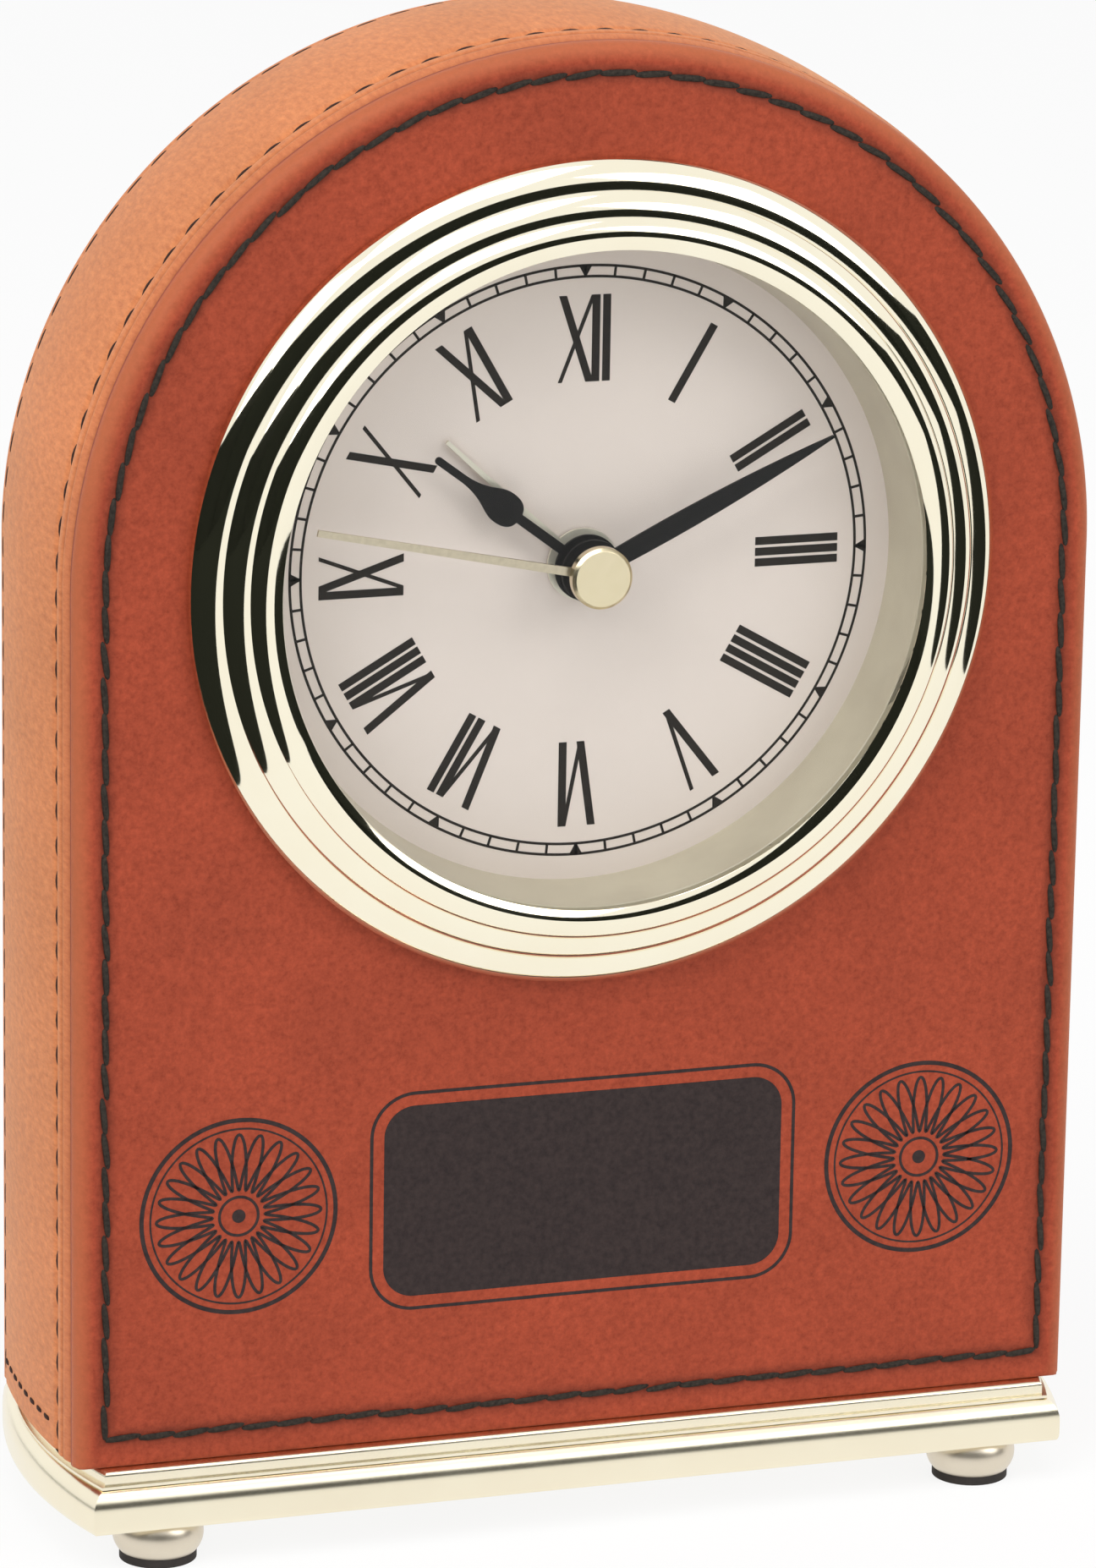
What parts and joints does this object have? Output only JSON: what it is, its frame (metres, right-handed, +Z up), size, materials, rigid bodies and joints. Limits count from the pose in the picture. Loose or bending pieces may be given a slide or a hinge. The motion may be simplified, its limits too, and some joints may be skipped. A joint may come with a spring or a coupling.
{
  "type": "mantel clock",
  "caption": "Round-arched leather-covered mantel clock on a moulded gold base with ball feet, stepped round bezel, Roman-numeral dial and quartz alarm movement.",
  "frame": {"origin": "on the table under the middle of the whole clock", "axes": "+X to the viewer's right, +Y to the back, +Z up; the dial faces -Y"},
  "size_m": [0.1086, 0.0396, 0.153],
  "materials": {
    "front_leather": "grained leatherette, rust brown",
    "band_leather": "grained leatherette, tan",
    "back_leather": "grained leatherette, rust brown",
    "gold": "polished pale gold plate",
    "rubber": "matt rubber",
    "shell_plastic": "moulded plastic",
    "glass": "clear flat glass",
    "ring_plastic": "gold-tinted plastic",
    "dial": "matt printed dial",
    "silver": "satin champagne metal",
    "black_metal": "matt black painted aluminium",
    "cap_gold": "satin gold",
    "movement_plastic": "moulded black plastic",
    "wheel_plastic": "moulded acetal",
    "steel": "zinc-plated steel",
    "magnet_steel": "sintered magnet and steel",
    "copper": "enamelled copper wire",
    "board": "circuit board",
    "resin": "resin seal",
    "battery_jacket": "printed metal jacket",
    "contact": "plated spring brass"
  },
  "bodies": {
    "case": {"base_plate": "gold", "ball_feet": "gold", "foot_pads": "rubber", "base_screws": "steel", "case_shell": "shell_plastic", "front_panel": "front_leather", "side_band": "band_leather", "back_board": "back_leather", "back_screws": "steel", "bezel": "gold", "lens": "glass", "dial_ring": "ring_plastic", "dial_plate": "dial", "holder_plate": "movement_plastic", "holder_screws": "steel", "movement_tray": "movement_plastic", "movement_lid": "movement_plastic", "ear_screws": "steel", "lid_screws": "steel", "stator": "steel", "coil": "copper", "circuit_board": "board", "quartz_can": "steel", "chip_seal": "resin", "sounder": "resin", "battery": "battery_jacket", "plus_contact": "contact", "minus_contact": "contact"},
    "second": {"second_wheel": "wheel_plastic", "second_hand": "silver", "hand_cap": "cap_gold"},
    "minute": {"minute_wheel": "wheel_plastic", "minute_hand": "black_metal"},
    "hour": {"hour_wheel": "wheel_plastic", "hour_hand": "black_metal"},
    "transfer": {"transfer_wheel": "wheel_plastic", "time_knob": "movement_plastic"},
    "third": {"third_wheel": "wheel_plastic"},
    "reduction": {"reduction_wheel": "wheel_plastic"},
    "rotor": {"rotor": "magnet_steel"},
    "alarm": {"alarm_wheel": "wheel_plastic", "alarm_hand": "silver"},
    "alarm_set": {"alarm_set_wheel": "wheel_plastic", "alarm_knob": "movement_plastic"},
    "switch": {"alarm_switch": "wheel_plastic"}
  },
  "joints": [
    {"name": "second_spin", "type": "hinge", "parent": "case", "child": "second", "pos_m": [0, -0.0063, 0.0994], "axis": [0, 1, 0], "continuous": true},
    {"name": "minute_spin", "type": "hinge", "parent": "case", "child": "minute", "pos_m": [0, -0.0063, 0.0994], "axis": [0, 1, 0], "continuous": true},
    {"name": "hour_spin", "type": "hinge", "parent": "case", "child": "hour", "pos_m": [0, -0.0063, 0.0994], "axis": [0, 1, 0], "continuous": true},
    {"name": "transfer_spin", "type": "hinge", "parent": "case", "child": "transfer", "pos_m": [0.00885, -0.0063, 0.10559], "axis": [0, 1, 0], "continuous": true},
    {"name": "third_spin", "type": "hinge", "parent": "case", "child": "third", "pos_m": [-0.00938, -0.0063, 0.10105], "axis": [0, 1, 0], "continuous": true},
    {"name": "reduction_spin", "type": "hinge", "parent": "case", "child": "reduction", "pos_m": [-0.0017, -0.0063, 0.10905], "axis": [0, 1, 0], "continuous": true},
    {"name": "rotor_spin", "type": "hinge", "parent": "case", "child": "rotor", "pos_m": [-0.006, -0.0063, 0.11519], "axis": [0, 1, 0], "continuous": true},
    {"name": "alarm_set_spin", "type": "hinge", "parent": "case", "child": "alarm_set", "pos_m": [0.01088, -0.0063, 0.09433], "axis": [0, 1, 0], "continuous": true},
    {"name": "alarm_spin", "type": "hinge", "parent": "case", "child": "alarm", "pos_m": [0, -0.0063, 0.0994], "axis": [0, 1, 0], "continuous": true},
    {"name": "alarm_switch_slide", "type": "slide", "parent": "case", "child": "switch", "axis": [0, 0, 1], "range_m": [0, 0.004]}
  ],
  "couplings": [
    {"joint": "third_spin", "follows": "second_spin", "ratio": -0.13333},
    {"joint": "minute_spin", "follows": "second_spin", "ratio": 0.016667},
    {"joint": "transfer_spin", "follows": "second_spin", "ratio": -0.0055556},
    {"joint": "hour_spin", "follows": "second_spin", "ratio": 0.0013889},
    {"joint": "reduction_spin", "follows": "second_spin", "ratio": -6},
    {"joint": "rotor_spin", "follows": "second_spin", "ratio": 30},
    {"joint": "alarm_spin", "follows": "alarm_set_spin", "ratio": -0.5}
  ]
}
